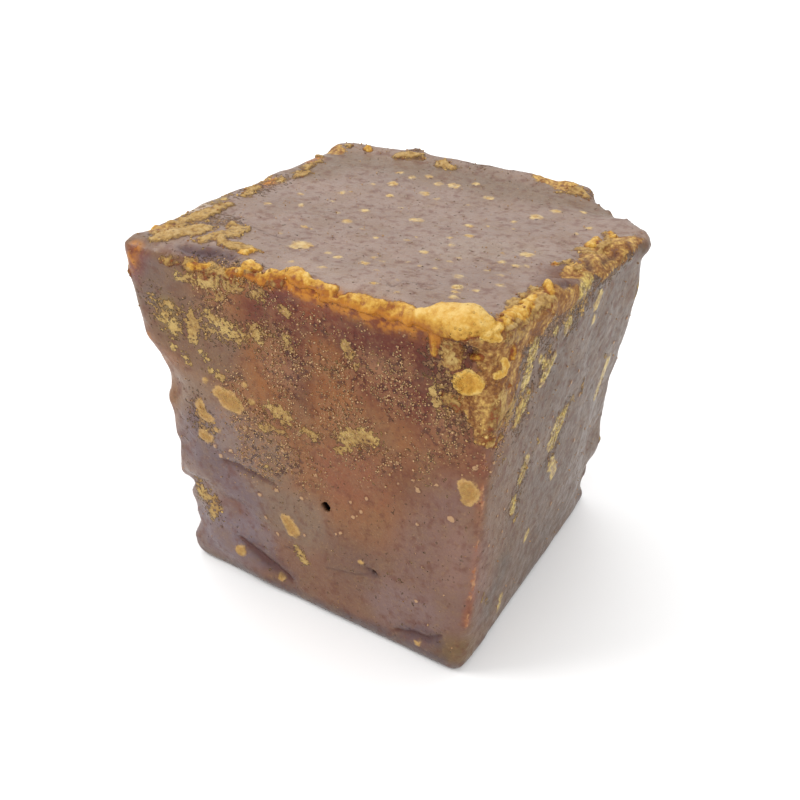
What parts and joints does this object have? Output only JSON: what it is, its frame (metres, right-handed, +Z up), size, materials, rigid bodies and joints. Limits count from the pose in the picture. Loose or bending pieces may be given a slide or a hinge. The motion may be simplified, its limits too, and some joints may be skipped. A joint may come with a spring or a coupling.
{
  "type": "jaggery block",
  "caption": "Roughly cubic cast block of unrefined cane sugar, wide end up, with a crusted lip round the top, chipped edges and one slanting cut corner.",
  "frame": {"origin": "under the middle of the block, on the surface it stands on", "axes": "+Z up through the wide end, +X along the front face to the right, +Y from the front face to the back"},
  "size_m": [0.1076, 0.1084, 0.0979],
  "materials": {
    "jaggery": "waxy brown sugar with a mealy golden crust"
  },
  "bodies": {
    "root": {"jaggery_block": "jaggery"}
  },
  "joints": []
}
